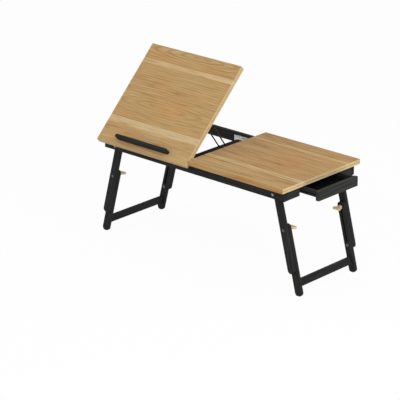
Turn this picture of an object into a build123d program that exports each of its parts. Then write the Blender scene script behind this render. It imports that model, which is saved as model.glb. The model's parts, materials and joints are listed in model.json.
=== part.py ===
# Folding laptop desk for bed or floor. Two halves are joined by link hinges at the bottom of
# their rails, so that the desk closes like a case with its four telescoping legs inside.
# The left half's top tilts and stands on two wire props. The right half's top is fixed and
# has a drawer under it, which is pulled out a little here.
# Frame: +X runs along the desk to the drawer, +Y to the back, +Z up. The floor is z = 0, and
# the origin is on it, under the middle of the desk as it stands here. Millimetres.
import os
from math import asin, cos, degrees, radians, sin

from build123d import *

os.makedirs("parts", exist_ok=True)

# The desk
length = 720.0
depth = 346.0
top_height = 328.0
panel_thickness = 15.0
rail_height = 30.0
rail_thickness = 14.0
end_overhang = 9.0
side_overhang = 17.0
seam_gap = 1.0
seam_x = -9.5
edge_round = 1.5
panel_corner = 2.5
panel_round = 1.0

half = length / 2
seam_edge = seam_gap / 2
under = top_height - panel_thickness
rail_bottom = under - rail_height
rail_out = depth / 2 - side_overhang
rail_in = rail_out - rail_thickness
rail_end = half - end_overhang
rail_mid = (rail_out + rail_in) / 2

# Fits
play = 0.05
slide_play = 0.1
loose = 0.2

# Legs, measured from the pivot down the leg
splay = 14.6
pivot_out = 309.0
pivot_z = under - 17.5
bar_width = 23.0
bar_thickness = 12.0
bar_gap = 1.0
upper_length = 225.5
lower_top = 104.5
knob_place = 109.0
travel = 100.0
guide_place = 224.0
groove_depth = 6.0
nut_seat_depth = 4.0
foot_centre_z = 9.5
cross_bar_place = 269.0
cross_bar_width = 22.0
cross_bar_thickness = 12.0
tenon_length = 8.0
tenon_width = 14.0
tenon_thickness = 6.0
slot_length = travel + 3.0
stop_height = 15.0

# Bolts, nuts, screws and washers of the legs
bolt_radius = 3.0
bolt_head_radius = 4.5
bolt_head_height = 2.4
bolt_head_dome = 1.2
nut_radius = 5.5
nut_seat_radius = 6.2
sunk_head_radius = 4.5
sunk_head_depth = 1.5
sunk_head_taper = 45.0
screw_head_radius = 5.0
screw_head_height = 2.2
screw_head_dome = 1.2
screw_end_gap = 0.5
washer_radius = 7.0
washer_thickness = 0.95

# Winged knobs, measured along their bolt from the washer
knob_length = 17.0
hub_length = 9.0
hub_radius = 6.5
hub_end_radius = 5.5
wing_root_place = 5.0
wing_root_radius = 4.8
wing_tip_reach = 9.2
wing_tip_radius = 4.0
wing_thickness = 6.4
wing_round = 1.2

upper_out = rail_in - bar_gap
upper_in = upper_out - bar_thickness
lower_out = upper_in - bar_gap
lower_in = lower_out - bar_thickness
lower_end = (pivot_z - foot_centre_z) / cos(radians(splay))

# Fold hinges, at the seam
pin_out = 4.0
pin_z = rail_bottom + 1.5
pin_radius = 1.2
ear_radius = 2.5
ear_thickness = 2.4
link_thickness = 3.0
ear_root = 12.0
leaf_start = 7.0
leaf_end = 42.0
leaf_width = 10.0
leaf_thickness = 2.0
leaf_holes = (20.0, 35.0)
leaf_hole_radius = 1.8

# Tilting top and its hinges
tilt = 45.0
hinge_y = -rail_out - 3.0
hinge_z = under - 3.0
knuckle_radius = 2.6
hinge_pin_radius = 1.0
hinge_length = 40.0
hinge_places = (105.0, 245.0)
hinge_leaf_thickness = 1.2
hinge_leaf_width = 12.0
hinge_web = 1.6

# Wire props, measured from the tilt hinge up the underside of the top
prop_places = (27.5, 312.5)
prop_spacing = 35.0
prop_wire = 2.0
prop_length = 124.0
prop_pivot = 142.0
prop_pivot_depth = 2.5
prop_foot_z = under + 2.1
prop_bend = 5.0
prop_turn_in = 5.5
recess_width = 45.0
recess_start = 128.0
recess_end = 274.0
recess_depth = 5.0
recess_corner = 6.0
saddle_width = 21.0
saddle_length = 8.0
saddle_height = 4.7
saddle_corner = 1.0

prop_height = hinge_z + prop_pivot * sin(radians(tilt))
prop_height += (under - hinge_z + prop_pivot_depth) * cos(radians(tilt))
prop_y = hinge_y + prop_pivot * cos(radians(tilt))
prop_y -= (under - hinge_z + prop_pivot_depth) * sin(radians(tilt))
prop_drop = degrees(asin((prop_height - prop_foot_z) / prop_length))
foot_y = prop_y + prop_length * cos(radians(prop_drop))

# How the foot moves over its rack as the top is let down: rise per run, where it stands
prop_turn = prop_drop / tilt
foot_rise = prop_pivot * cos(radians(tilt))
foot_rise -= (under - hinge_z + prop_pivot_depth) * sin(radians(tilt))
foot_rise -= prop_length * cos(radians(prop_drop)) * prop_turn
foot_run = prop_pivot * sin(radians(tilt))
foot_run += (under - hinge_z + prop_pivot_depth) * cos(radians(tilt))
foot_run += prop_length * sin(radians(prop_drop)) * prop_turn
rack_slope = -foot_rise / foot_run

# Boards that the props stand on, and the notched strips on them
board_thickness = 4.0
board_top = under - 1.6
board_housing = 7.0
seam_board = (3.0, 52.0)
end_board = (288.0, 336.0)
seam_tongue = (3.0, 25.0)
seam_board_reach = 103.0
seam_board_corner = 8.0
rack_width = 22.0
rack_clearance = 0.15
notch_pitch = 8.0
notch_radius = 2.3
notch_lift = 1.4
rack_start = foot_y - 2.8 * notch_pitch
rack_end = foot_y + 1.7 * notch_pitch

# Drawer
drawer_open = 69.0
drawer_half_width = 87.0
drawer_gap = 1.0
front_thickness = 12.0
side_outer = 85.0
side_thickness = 8.0
side_length = 228.0
side_bottom = rail_bottom + 9.5
side_top = under - 1.5
groove_in = 3.5
bottom_thickness = 3.0
bottom_rise = 1.0
bottom_housing = 3.0
runner_z = 298.0
runner_lip = 3.0
runner_length = 237.0
groove_play = 0.3
runner_near = 86.0
runner_far = 92.0
lip_in = 81.7

# Slide latches at the seam, measured from the seam
latch_z = 297.0
latch_half_height = 4.0
latch_in = 136.9
latch_out = 141.1
latch_reach = (4.0, 68.0)
latch_corner = 2.0
thumb_place = 36.0
thumb_radius = 3.0
thumb_length = 6.0
plate_thickness = 0.7
plate_height = 20.0
plate_corner = 3.0
plate_reach = (3.0, 97.0)
plate_loops = ((6.0, 14.0), (46.0, 54.0))
keeper_reach = (3.0, 32.0)
keeper_loops = ((5.0, 13.0),)
loop_play = 0.4
loop_wall = 1.2

# Book ledge
ledge_length = 206.0
ledge_height = 19.0
ledge_thickness = 11.0
ledge_corner = 4.5
ledge_round = 1.5
ledge_set_back = 17.5
ledge_centre = 182.0

SIDES = (("left", -1), ("right", 1))
ROWS = (("front", -1), ("rear", 1))


def save(piece, name):
    """Label a finished piece and write it."""
    piece.label = name
    export_step(piece, f"parts/{name}.step")


def along(side, distance):
    """X of a place at a distance from the seam, on the left (-1) or right (1) half."""
    return seam_x + side * distance


def block(side, near, far, row, inner, outer, low, high, mode=Mode.ADD):
    """A block between two distances from the seam, two from the middle and two heights."""
    centre = (along(side, (near + far) / 2), row * (inner + outer) / 2, (low + high) / 2)
    with Locations(centre):
        Box(far - near, outer - inner, high - low, mode=mode)


def side_plane(row, distance):
    """Upright plane at a distance from the middle, X along the desk, normal outwards."""
    return Plane(origin=(seam_x, row * distance, 0), x_dir=(-row, 0, 0), z_dir=(0, row, 0))


def leg_plane(side, row, distance):
    """Plane at the leg pivot, X down the leg, normal towards the middle of the desk."""
    down = (side * sin(radians(splay)), 0, -cos(radians(splay)))
    pivot = (along(side, pivot_out), row * distance, pivot_z)
    return Plane(origin=pivot, x_dir=down, z_dir=(0, -row, 0))


def leg_point(side, distance):
    """X and Z of a place down the leg, as it stands."""
    x = along(side, pivot_out + distance * sin(radians(splay)))
    return x, pivot_z - distance * cos(radians(splay))


# The tilted top's own plane: origin on the hinge line, Y up the top, Z out of it
tilt_plane = Plane(
    origin=(seam_x, hinge_y, hinge_z),
    x_dir=(1, 0, 0),
    z_dir=(0, -sin(radians(tilt)), cos(radians(tilt))),
)
underside = tilt_plane.offset(under - hinge_z)
top_side = underside.offset(panel_thickness)
front_edge = -depth / 2 - hinge_y


def panel_outline(side, centre_y):
    """One half's top, seen from above."""
    width = half - seam_edge
    with Locations((side * (seam_edge + width / 2), centre_y)):
        RectangleRounded(width, depth, panel_corner)


# Fixed top
with BuildPart() as fixed_panel:
    with BuildSketch(Plane(origin=(seam_x, 0, under))):
        panel_outline(1, 0)
    extrude(amount=panel_thickness)
    fillet(fixed_panel.faces().filter_by(Axis.Z).edges(), panel_round)
save(fixed_panel.part, "fixed_panel")

# Tilting top, with a recess for each prop and a seat for each hinge leaf in its underside
up = Axis((0, 0, 0), tilt_plane.z_dir)
with BuildPart() as tilt_panel:
    with BuildSketch(underside):
        panel_outline(-1, front_edge + depth / 2)
    extrude(amount=panel_thickness)
    fillet(tilt_panel.faces().filter_by(up).edges(), panel_round)
    with BuildSketch(underside):
        for place in prop_places:
            with Locations((-place, (recess_start + recess_end) / 2)):
                RectangleRounded(recess_width, recess_end - recess_start, recess_corner)
    extrude(amount=recess_depth, mode=Mode.SUBTRACT)
    with BuildSketch(underside):
        for place in hinge_places:
            with Locations((-place, (hinge_leaf_width - 1) / 2)):
                Rectangle(hinge_length + 2 * loose, hinge_leaf_width + 1 + 2 * loose)
    extrude(amount=hinge_leaf_thickness, mode=Mode.SUBTRACT)
save(tilt_panel.part, "tilt_panel")

# Book ledge, standing on the tilting top
with BuildPart() as book_ledge:
    ledge_y = front_edge + ledge_set_back + ledge_thickness / 2
    ledge_foot = Plane(
        origin=top_side.from_local_coords(Vector(-ledge_centre, ledge_y, 0)),
        x_dir=(1, 0, 0),
        z_dir=tilt_plane.z_dir,
    )
    with BuildSketch(ledge_foot):
        RectangleRounded(ledge_length, ledge_thickness, ledge_corner)
    extrude(amount=ledge_height)
    fillet(book_ledge.faces().sort_by(up)[-1].edges(), ledge_round)
save(book_ledge.part, "book_ledge")


def rail(side, row):
    """A front or rear rail of one half, with its bores, pockets and housings."""
    with BuildPart() as bar:
        block(side, seam_edge, rail_end, row, rail_in, rail_out, rail_bottom, under)
        fillet(bar.edges().filter_by(Axis.X).group_by(Axis.Z)[0], edge_round)
        with BuildSketch(side_plane(row, rail_out)):
            with Locations((-row * side * pivot_out, pivot_z)):
                Circle(bolt_radius)
        extrude(amount=-rail_thickness, mode=Mode.SUBTRACT)
        ear_half = ear_thickness + link_thickness / 2 + slide_play + loose / 2
        block(side, seam_edge, ear_root + loose, row, rail_mid - ear_half, rail_mid + ear_half,
              rail_bottom, pin_z + ear_radius + loose, Mode.SUBTRACT)
        leaf_half = leaf_width / 2 + slide_play
        block(side, leaf_start, leaf_end + slide_play, row, rail_mid - leaf_half,
              rail_mid + leaf_half, rail_bottom, rail_bottom + leaf_thickness, Mode.SUBTRACT)
        if side < 0:
            for near, far in (seam_tongue, end_board):
                block(side, near, far, row, rail_in, rail_in + board_housing,
                      board_top - board_thickness, under, Mode.SUBTRACT)
        if side < 0 and row < 0:
            for place in hinge_places:
                reach = hinge_length / 2 + loose
                block(side, place - reach, place + reach, row, rail_out - hinge_leaf_width - loose,
                      rail_out, hinge_z + knuckle_radius - hinge_leaf_thickness, under,
                      Mode.SUBTRACT)
    return bar.part


for side_name, side in SIDES:
    for row_name, row in ROWS:
        save(rail(side, row), f"{row_name}_rail_{side_name}")

# End rails: whole on the left, two stubs beside the drawer on the right
with BuildPart() as end_rail_left:
    block(-1, rail_end - rail_thickness, rail_end, 1, -rail_in, rail_in, rail_bottom, under)
    fillet(end_rail_left.edges().filter_by(Axis.Y).group_by(Axis.Z)[0], edge_round)
save(end_rail_left.part, "end_rail_left")

for row_name, row in ROWS:
    with BuildPart() as stub:
        block(1, rail_end - rail_thickness, rail_end, row, drawer_half_width + drawer_gap,
              rail_in, rail_bottom, under)
        fillet(stub.edges().filter_by(Axis.Y).group_by(Axis.Z)[0], edge_round)
    save(stub.part, f"end_rail_right_{row_name}")


# Cross boards for the props, housed in the rails. The seam board's ends are narrower, which
# leaves room for a finger at the latches
for board_name, reach, tongue in (("seam", seam_board, seam_tongue), ("end", end_board, end_board)):
    with BuildPart() as rack_board:
        block(-1, *tongue, 1, -rail_in - board_housing, rail_in + board_housing,
              board_top - board_thickness, board_top)
        if reach != tongue:
            block(-1, *reach, 1, -seam_board_reach, seam_board_reach, board_top - board_thickness,
                  board_top)
            far_corners = rack_board.edges().filter_by(Axis.Z)
            far_corners = far_corners.filter_by_position(Axis.Y, -seam_board_reach, seam_board_reach)
            fillet(far_corners, seam_board_corner)
    save(rack_board.part, f"rack_board_{board_name}")

# Notched strips on the boards. Each prop's foot stands in a notch, and passes just over the ridges
with BuildPart() as rack_strips:
    ridge = prop_foot_z - prop_wire - rack_clearance
    for place in prop_places:
        with BuildSketch(Plane(origin=(along(-1, place), 0, 0), x_dir=(0, 1, 0), z_dir=(1, 0, 0))):
            with BuildLine():
                Polyline(
                    (rack_start, board_top),
                    (rack_end, board_top),
                    (rack_end, ridge + rack_slope * (rack_end - foot_y)),
                    (rack_start, ridge + rack_slope * (rack_start - foot_y)),
                    close=True,
                )
            make_face()
            for step in (-2, -1, 0, 1):
                notch_z = ridge + rack_slope * step * notch_pitch + notch_lift
                with Locations((foot_y + step * notch_pitch, notch_z)):
                    Circle(notch_radius, mode=Mode.SUBTRACT)
        extrude(amount=rack_width / 2, both=True)
save(rack_strips.part, "rack_strips")

# Stops that the upper legs lean on, one behind each leg, against the end rail
for side_name, side in SIDES:
    with BuildPart() as leg_stops:
        for row_name, row in ROWS:
            with BuildSketch(Plane(origin=(seam_x, row * upper_out, 0), x_dir=(1, 0, 0),
                                   z_dir=(0, -1, 0))):
                inner_face = side * (rail_end - rail_thickness)
                lean = bar_width / 2 + loose / 2
                stop_top = rail_bottom + stop_height
                edge_low = pivot_out + lean / cos(radians(splay))
                edge_low += (pivot_z - rail_bottom) * sin(radians(splay)) / cos(radians(splay))
                edge_high = edge_low
                edge_high -= (stop_top - rail_bottom) * sin(radians(splay)) / cos(radians(splay))
                with BuildLine():
                    Polyline(
                        (inner_face, rail_bottom),
                        (side * edge_low, rail_bottom),
                        (side * edge_high, stop_top),
                        (inner_face, stop_top),
                        close=True,
                    )
                make_face()
            extrude(amount=row * bar_thickness)
    save(leg_stops.part, f"leg_stops_{side_name}")


def turned(row, profile, place_x, place_z):
    """A turned piece on a Y axis: a list of (radius, distance from the middle) corners."""
    plane = Plane(origin=(place_x, 0, place_z), x_dir=(1, 0, 0), z_dir=(0, 0, 1))
    with BuildSketch(plane) as outline:
        with BuildLine():
            Polyline(*[(radius, row * distance) for radius, distance in profile], close=True)
        make_face()
    revolve(outline.sketch, axis=Axis((place_x, 0, place_z), (0, 1, 0)))


# Leg pivot bolts with domed heads outside, and their nuts, sunk in the legs' inner faces
for side_name, side in SIDES:
    x, z = along(side, pivot_out), pivot_z
    with BuildPart() as leg_bolts:
        for row_name, row in ROWS:
            head = rail_out + bolt_head_height
            turned(row, [(0, upper_in + loose), (bolt_radius, upper_in + loose),
                         (bolt_radius, rail_out), (bolt_head_radius, rail_out),
                         (bolt_head_radius, head - bolt_head_dome),
                         (bolt_head_radius - bolt_head_dome, head), (0, head)], x, z)
    save(leg_bolts.part, f"leg_bolts_{side_name}")
    with BuildPart() as leg_nuts:
        for row_name, row in ROWS:
            nut_plane = Plane(origin=(x, row * (upper_in + nut_seat_depth - loose), z), x_dir=(1, 0, 0),
                              z_dir=(0, -row, 0))
            with BuildSketch(nut_plane):
                RegularPolygon(nut_radius, 6)
                Circle(bolt_radius, mode=Mode.SUBTRACT)
            extrude(amount=nut_seat_depth - 2 * loose)
    save(leg_nuts.part, f"leg_nuts_{side_name}")


def bar_outline(side, row, distance, start, end):
    """A leg bar with round ends, from its outer face inwards, softened all round."""
    with BuildSketch(leg_plane(side, row, distance)) as outline:
        with Locations(((start + end) / 2, 0)):
            SlotCenterToCenter(end - start, bar_width)
    extrude(outline.sketch, amount=bar_thickness)


def upper_leg(side, row):
    """The bar that pivots in the rail. A groove in its inner face leads the guide screw."""
    with BuildPart() as leg:
        bar_outline(side, row, upper_out, 0, upper_length)
        fillet(leg.faces().filter_by(Axis.Y).edges(), edge_round)
        with BuildSketch(leg_plane(side, row, upper_out)):
            Circle(bolt_radius + play)
            with Locations((knob_place, 0)):
                Circle(bolt_radius)
        extrude(amount=bar_thickness, mode=Mode.SUBTRACT)
        with BuildSketch(leg_plane(side, row, upper_in)):
            Circle(nut_seat_radius)
        extrude(amount=-nut_seat_depth, mode=Mode.SUBTRACT)
        with BuildSketch(leg_plane(side, row, upper_in)):
            with Locations((guide_place - travel / 2, 0)):
                SlotCenterToCenter(travel, 2 * (bolt_radius + slide_play))
        extrude(amount=-groove_depth, mode=Mode.SUBTRACT)
        with BuildSketch(leg_plane(side, row, upper_out)):
            with Locations((knob_place, 0)):
                Circle(sunk_head_radius)
        extrude(amount=sunk_head_depth, taper=sunk_head_taper, mode=Mode.SUBTRACT)
    return leg.part


def lower_leg(side, row):
    """The bar that slides on the knob's bolt and stands on the floor."""
    with BuildPart() as leg:
        bar_outline(side, row, lower_out, lower_top, lower_end)
        fillet(leg.faces().filter_by(Axis.Y).edges(), edge_round)
        split(bisect_by=Plane.XY, keep=Keep.TOP)
        with BuildSketch(leg_plane(side, row, lower_out)):
            with Locations((guide_place, 0)):
                Circle(bolt_radius)
            with Locations((knob_place + slot_length / 2, 0)):
                SlotCenterToCenter(slot_length, 2 * (bolt_radius + slide_play))
        extrude(amount=bar_thickness, mode=Mode.SUBTRACT)
        with BuildSketch(leg_plane(side, row, lower_in)):
            with Locations((cross_bar_place, 0)):
                Rectangle(tenon_width, tenon_thickness)
        extrude(amount=-tenon_length, mode=Mode.SUBTRACT)
    return leg.part


for side_name, side in SIDES:
    for row_name, row in ROWS:
        save(upper_leg(side, row), f"upper_leg_{side_name}_{row_name}")
        save(lower_leg(side, row), f"lower_leg_{side_name}_{row_name}")

# Cross bars between the lower legs, with a stub tenon at each end
for side_name, side in SIDES:
    with BuildPart() as cross_bar:
        with BuildSketch(leg_plane(side, -1, lower_in)):
            with Locations((cross_bar_place, 0)):
                RectangleRounded(cross_bar_width, cross_bar_thickness, edge_round)
        extrude(amount=2 * lower_in)
        for row_name, row in ROWS:
            with BuildSketch(leg_plane(side, row, lower_in)):
                with Locations((cross_bar_place, 0)):
                    Rectangle(tenon_width, tenon_thickness)
            extrude(amount=-tenon_length)
    save(cross_bar.part, f"cross_bar_{side_name}")

# Guide screws, fast in the lower legs, whose ends run in the upper legs' grooves
for side_name, side in SIDES:
    x, z = leg_point(side, guide_place)
    with BuildPart() as guide_screws:
        for row_name, row in ROWS:
            end = upper_in + groove_depth - screw_end_gap
            head = lower_in - screw_head_height
            turned(row, [(0, end), (bolt_radius, end), (bolt_radius, lower_in),
                         (screw_head_radius, lower_in), (screw_head_radius, head + screw_head_dome),
                         (screw_head_radius - screw_head_dome, head), (0, head)], x, z)
    save(guide_screws.part, f"guide_screws_{side_name}")

# Knob bolts, fast in the upper legs, with sunk heads outside, and the knobs' washers
for side_name, side in SIDES:
    x, z = leg_point(side, knob_place)
    with BuildPart() as knob_bolts:
        for row_name, row in ROWS:
            end = lower_in - knob_length
            turned(row, [(0, upper_out), (sunk_head_radius, upper_out),
                         (bolt_radius, upper_out - sunk_head_depth), (bolt_radius, end),
                         (0, end)], x, z)
            seat = lower_in - play
            turned(row, [(bolt_radius, seat), (washer_radius, seat),
                         (washer_radius, seat - washer_thickness),
                         (bolt_radius, seat - washer_thickness)], x, z)
    save(knob_bolts.part, f"knob_bolts_{side_name}")


def wing_knob(side, row):
    """A two-winged knob on its bolt, wings level."""
    x, z = leg_point(side, knob_place)
    seat = lower_in - washer_thickness - 2 * play
    with BuildPart() as knob:
        with BuildSketch(Plane(origin=(x, 0, z), x_dir=(1, 0, 0), z_dir=(0, 0, 1))):
            with Locations((0, row * (seat - wing_root_place))):
                Circle(wing_root_radius)
            tip = row * (seat - knob_length)
            with Locations((-wing_tip_reach, tip), (wing_tip_reach, tip)):
                Circle(wing_tip_radius)
            make_hull()
        extrude(amount=wing_thickness / 2, both=True)
        fillet(knob.faces().filter_by(Axis.Z).edges(), wing_round)
        turned(row, [(0, seat), (hub_radius, seat), (hub_end_radius, seat - hub_length),
                     (0, seat - hub_length)], x, z)
        with BuildSketch(Plane(origin=(x, row * seat, z), x_dir=(1, 0, 0), z_dir=(0, -row, 0))):
            Circle(bolt_radius + play)
        extrude(amount=knob_length, mode=Mode.SUBTRACT)
    return knob.part


for side_name, side in SIDES:
    for row_name, row in ROWS:
        save(wing_knob(side, row), f"knob_{side_name}_{row_name}")


def ear_pair(side, row):
    """The two ears of a fold hinge's leaf, with their bore for the link's pin."""
    gap = link_thickness / 2 + slide_play
    for inner in (rail_mid - gap - ear_thickness, rail_mid + gap):
        with BuildSketch(side_plane(row, inner)) as ear:
            pin_x = -row * side * pin_out
            root_x = -row * side * ear_root
            with Locations((pin_x, pin_z)):
                Circle(ear_radius)
            with Locations(((pin_x + root_x) / 2, pin_z + (ear_radius - 1.5) / 2)):
                Rectangle(abs(root_x - pin_x), ear_radius + 1.5)
            with Locations((pin_x, pin_z)):
                Circle(pin_radius + play, mode=Mode.SUBTRACT)
        extrude(ear.sketch, amount=ear_thickness)


# Fold hinge leaves, let into the bottom of the rails
for side_name, side in SIDES:
    with BuildPart() as fold_leaves:
        for row_name, row in ROWS:
            block(side, leaf_start, leaf_end, row, rail_mid - leaf_width / 2,
                  rail_mid + leaf_width / 2, rail_bottom, rail_bottom + leaf_thickness)
            ear_pair(side, row)
        with BuildSketch(Plane(origin=(seam_x, 0, rail_bottom))):
            for row_name, row in ROWS:
                for place in leaf_holes:
                    with Locations((side * place, row * rail_mid)):
                        Circle(leaf_hole_radius)
        extrude(amount=leaf_thickness, mode=Mode.SUBTRACT)
    save(fold_leaves.part, f"fold_leaves_{side_name}")

# Links between the halves, and the pins pressed into them
with BuildPart() as fold_links:
    for row_name, row in ROWS:
        with BuildSketch(side_plane(row, rail_mid - link_thickness / 2)):
            with Locations((0, pin_z)):
                SlotCenterToCenter(2 * pin_out, 2 * ear_radius)
            with Locations((-pin_out, pin_z), (pin_out, pin_z)):
                Circle(pin_radius, mode=Mode.SUBTRACT)
        extrude(amount=link_thickness)
save(fold_links.part, "fold_links")

with BuildPart() as fold_pins:
    for row_name, row in ROWS:
        reach = link_thickness / 2 + slide_play + ear_thickness
        with BuildSketch(side_plane(row, rail_mid - reach)):
            with Locations((-pin_out, pin_z), (pin_out, pin_z)):
                Circle(pin_radius)
        extrude(amount=2 * reach)
save(fold_pins.part, "fold_pins")

# Tilt hinges: leaf in the rail with two knuckles, leaf in the top with the one between them
knuckle = hinge_length * 0.3
middle = hinge_length - 2 * knuckle - 2 * loose
across = Plane(origin=(seam_x, hinge_y, hinge_z), x_dir=(0, 1, 0), z_dir=(1, 0, 0))
plate_top = knuckle_radius
knuckle_root = 4.0

with BuildPart() as tilt_leaves_lower:
    for place in hinge_places:
        near, far = place - hinge_length / 2, place + hinge_length / 2
        plate_low = hinge_z + plate_top - hinge_leaf_thickness
        block(-1, near, far, -1, rail_out - hinge_leaf_width, rail_out - loose, plate_low,
              hinge_z + plate_top)
        for start in (near, far - knuckle):
            with BuildSketch(across.offset(-start - knuckle)):
                Circle(knuckle_radius)
                with Locations((knuckle_root / 2, plate_top - hinge_leaf_thickness / 2)):
                    Rectangle(knuckle_root, hinge_leaf_thickness)
                Circle(hinge_pin_radius, mode=Mode.SUBTRACT)
            extrude(amount=knuckle)
save(tilt_leaves_lower.part, "tilt_leaves_lower")

with BuildPart() as tilt_pins:
    for place in hinge_places:
        with BuildSketch(across.offset(-place - hinge_length / 2)):
            Circle(hinge_pin_radius)
        extrude(amount=hinge_length)
save(tilt_pins.part, "tilt_pins")

tilt_across = Plane(origin=(seam_x, hinge_y, hinge_z), x_dir=tilt_plane.y_dir, z_dir=(1, 0, 0))
with BuildPart() as tilt_leaves_upper:
    for place in hinge_places:
        gap = under - hinge_z
        with BuildSketch(tilt_across.offset(-place - middle / 2)):
            Circle(knuckle_radius)
            with Locations((0, (gap + hinge_leaf_thickness) / 2)):
                Rectangle(hinge_web, gap + hinge_leaf_thickness)
            Circle(hinge_pin_radius + play, mode=Mode.SUBTRACT)
        extrude(amount=middle)
        with BuildSketch(tilt_across.offset(-place - hinge_length / 2)):
            with Locations(((hinge_leaf_width - 1) / 2, gap + hinge_leaf_thickness / 2)):
                Rectangle(hinge_leaf_width + 1, hinge_leaf_thickness)
        extrude(amount=hinge_length)
save(tilt_leaves_upper.part, "tilt_leaves_upper")

# Wire props and the saddles that hold their upper ends
prop_rise = under - hinge_z + prop_pivot_depth
with BuildPart() as prop_saddles:
    for place in prop_places:
        with BuildSketch(tilt_across.offset(-place - saddle_width / 2)):
            saddle_rise = under - hinge_z + recess_depth - saddle_height / 2
            with Locations((prop_pivot, saddle_rise)):
                RectangleRounded(saddle_length, saddle_height, saddle_corner)
            with Locations((prop_pivot, prop_rise)):
                Circle(prop_wire + play, mode=Mode.SUBTRACT)
        extrude(amount=saddle_width)
save(prop_saddles.part, "prop_saddles")


def prop(place):
    """A hoop of wire: its ends turn in to the saddle, its far side is the foot."""
    plane = Plane(
        origin=(along(-1, place), prop_y, prop_height),
        x_dir=(1, 0, 0),
        z_dir=(0, sin(radians(prop_drop)), cos(radians(prop_drop))),
    )
    reach = prop_spacing / 2
    with BuildPart() as hoop:
        with BuildLine(plane) as wire:
            FilletPolyline(
                (-prop_turn_in, 0),
                (-reach, 0),
                (-reach, prop_length),
                (reach, prop_length),
                (reach, 0),
                (prop_turn_in, 0),
                radius=prop_bend,
            )
        with BuildSketch(Plane(origin=wire.line @ 0, z_dir=wire.line % 0)):
            Circle(prop_wire)
        sweep()
    return hoop.part


save(prop(prop_places[0]), "prop_seam")
save(prop(prop_places[1]), "prop_end")

# Drawer runners: strips under the fixed top whose lips carry the drawer in its side grooves
runner_end = rail_end - rail_thickness
for row_name, row in ROWS:
    with BuildPart() as runner:
        block(1, runner_end - runner_length, runner_end, row, runner_near, runner_far, runner_z,
              under)
        block(1, runner_end - runner_length, runner_end, row, lip_in, runner_near, runner_z,
              runner_z + runner_lip)
    save(runner.part, f"drawer_runner_{row_name}")

# Drawer, pulled out
front_face = rail_end + drawer_open
front_back = front_face - front_thickness
box_back = front_back - side_length
with BuildPart() as drawer_front:
    block(1, front_back, front_face, 1, -drawer_half_width, drawer_half_width,
          rail_bottom + 0.5, under - 0.5)
    fillet(drawer_front.faces().sort_by(Axis.X)[-1].edges(), 1.2)
save(drawer_front.part, "drawer_front")

inside = side_outer - side_thickness
bottom_low = side_bottom + bottom_rise
bottom_top = bottom_low + bottom_thickness
for row_name, row in ROWS:
    with BuildPart() as drawer_side:
        block(1, box_back, front_back, row, inside, side_outer, side_bottom, side_top)
        block(1, box_back, front_back, row, side_outer - groove_in, side_outer,
              runner_z - groove_play, runner_z + runner_lip + groove_play, Mode.SUBTRACT)
        block(1, box_back, front_back, row, inside, inside + bottom_housing, bottom_low,
              bottom_top, Mode.SUBTRACT)
    save(drawer_side.part, f"drawer_side_{row_name}")

with BuildPart() as drawer_back:
    block(1, box_back, box_back + side_thickness, 1, -inside, inside, bottom_top, side_top)
save(drawer_back.part, "drawer_back")

with BuildPart() as drawer_bottom:
    block(1, box_back, front_back, 1, -inside - bottom_housing, inside + bottom_housing,
          bottom_low, bottom_top)
save(drawer_bottom.part, "drawer_bottom")


def staple(side, row, near, far):
    """A raised loop on a latch plate that the bolt runs through."""
    rise = latch_half_height + loop_play
    inner = latch_in - loop_play
    face = rail_in - plate_thickness
    block(side, near, far, row, inner - loop_wall, face, latch_z - rise - loop_wall,
          latch_z + rise + loop_wall)
    block(side, near, far, row, inner, face, latch_z - rise, latch_z + rise, Mode.SUBTRACT)


def latch_plate(side, row, near, far, loops):
    """A thin plate on a rail's inner face, with the loops for the bolt."""
    with BuildSketch(side_plane(row, rail_in - plate_thickness)) as plate:
        with Locations((-row * side * (near + far) / 2, latch_z)):
            RectangleRounded(far - near, plate_height, plate_corner)
    extrude(plate.sketch, amount=plate_thickness)
    for start, end in loops:
        staple(side, row, start, end)


# Latch plates on the left rails, keepers on the right rails
with BuildPart() as latch_plates:
    for row_name, row in ROWS:
        latch_plate(-1, row, *plate_reach, plate_loops)
save(latch_plates.part, "latch_plates")

with BuildPart() as latch_keepers:
    for row_name, row in ROWS:
        latch_plate(1, row, *keeper_reach, keeper_loops)
save(latch_keepers.part, "latch_keepers")

# Latch bolts, drawn back
for row_name, row in ROWS:
    with BuildPart() as latch_bolt:
        block(-1, *latch_reach, row, latch_in, latch_out, latch_z - latch_half_height,
              latch_z + latch_half_height)
        fillet(latch_bolt.edges().filter_by(Axis.Y), latch_corner)
        with BuildSketch(side_plane(row, latch_in)):
            with Locations((row * thumb_place, latch_z)):
                Circle(thumb_radius)
        extrude(amount=-thumb_length)
    save(latch_bolt.part, f"latch_bolt_{row_name}")

print("prop falls", round(prop_drop, 3), "deg below level, foot at y", round(foot_y, 3))
print("prop pivot y", round(prop_y, 3), "z", round(prop_height, 3))
print("prop follows the top at", round((tilt + prop_drop) / tilt, 5))
for side_name, side in SIDES:
    print(side_name, "knob at", [round(v, 3) for v in leg_point(side, knob_place)])
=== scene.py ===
# %% [markdown]
# # A folding laptop desk, dressed in Blender
# The desk stands open: its left top is tilted on two wire props, its right top is flat and has a
# drawer pulled out a little, and four legs with sliding lower bars carry it. The construction
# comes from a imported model, which is loaded as a fixed frame. This lesson gives every piece the
# wood, stain or metal it has, rounds the edges that catch the light, and adds the small
# hardware. Everything is in metres: X runs along the desk to the drawer, Y to the back, Z up.

import json
from math import atan2, pi, radians

import bmesh
import bpy
from mathutils import Matrix, Vector


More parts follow.
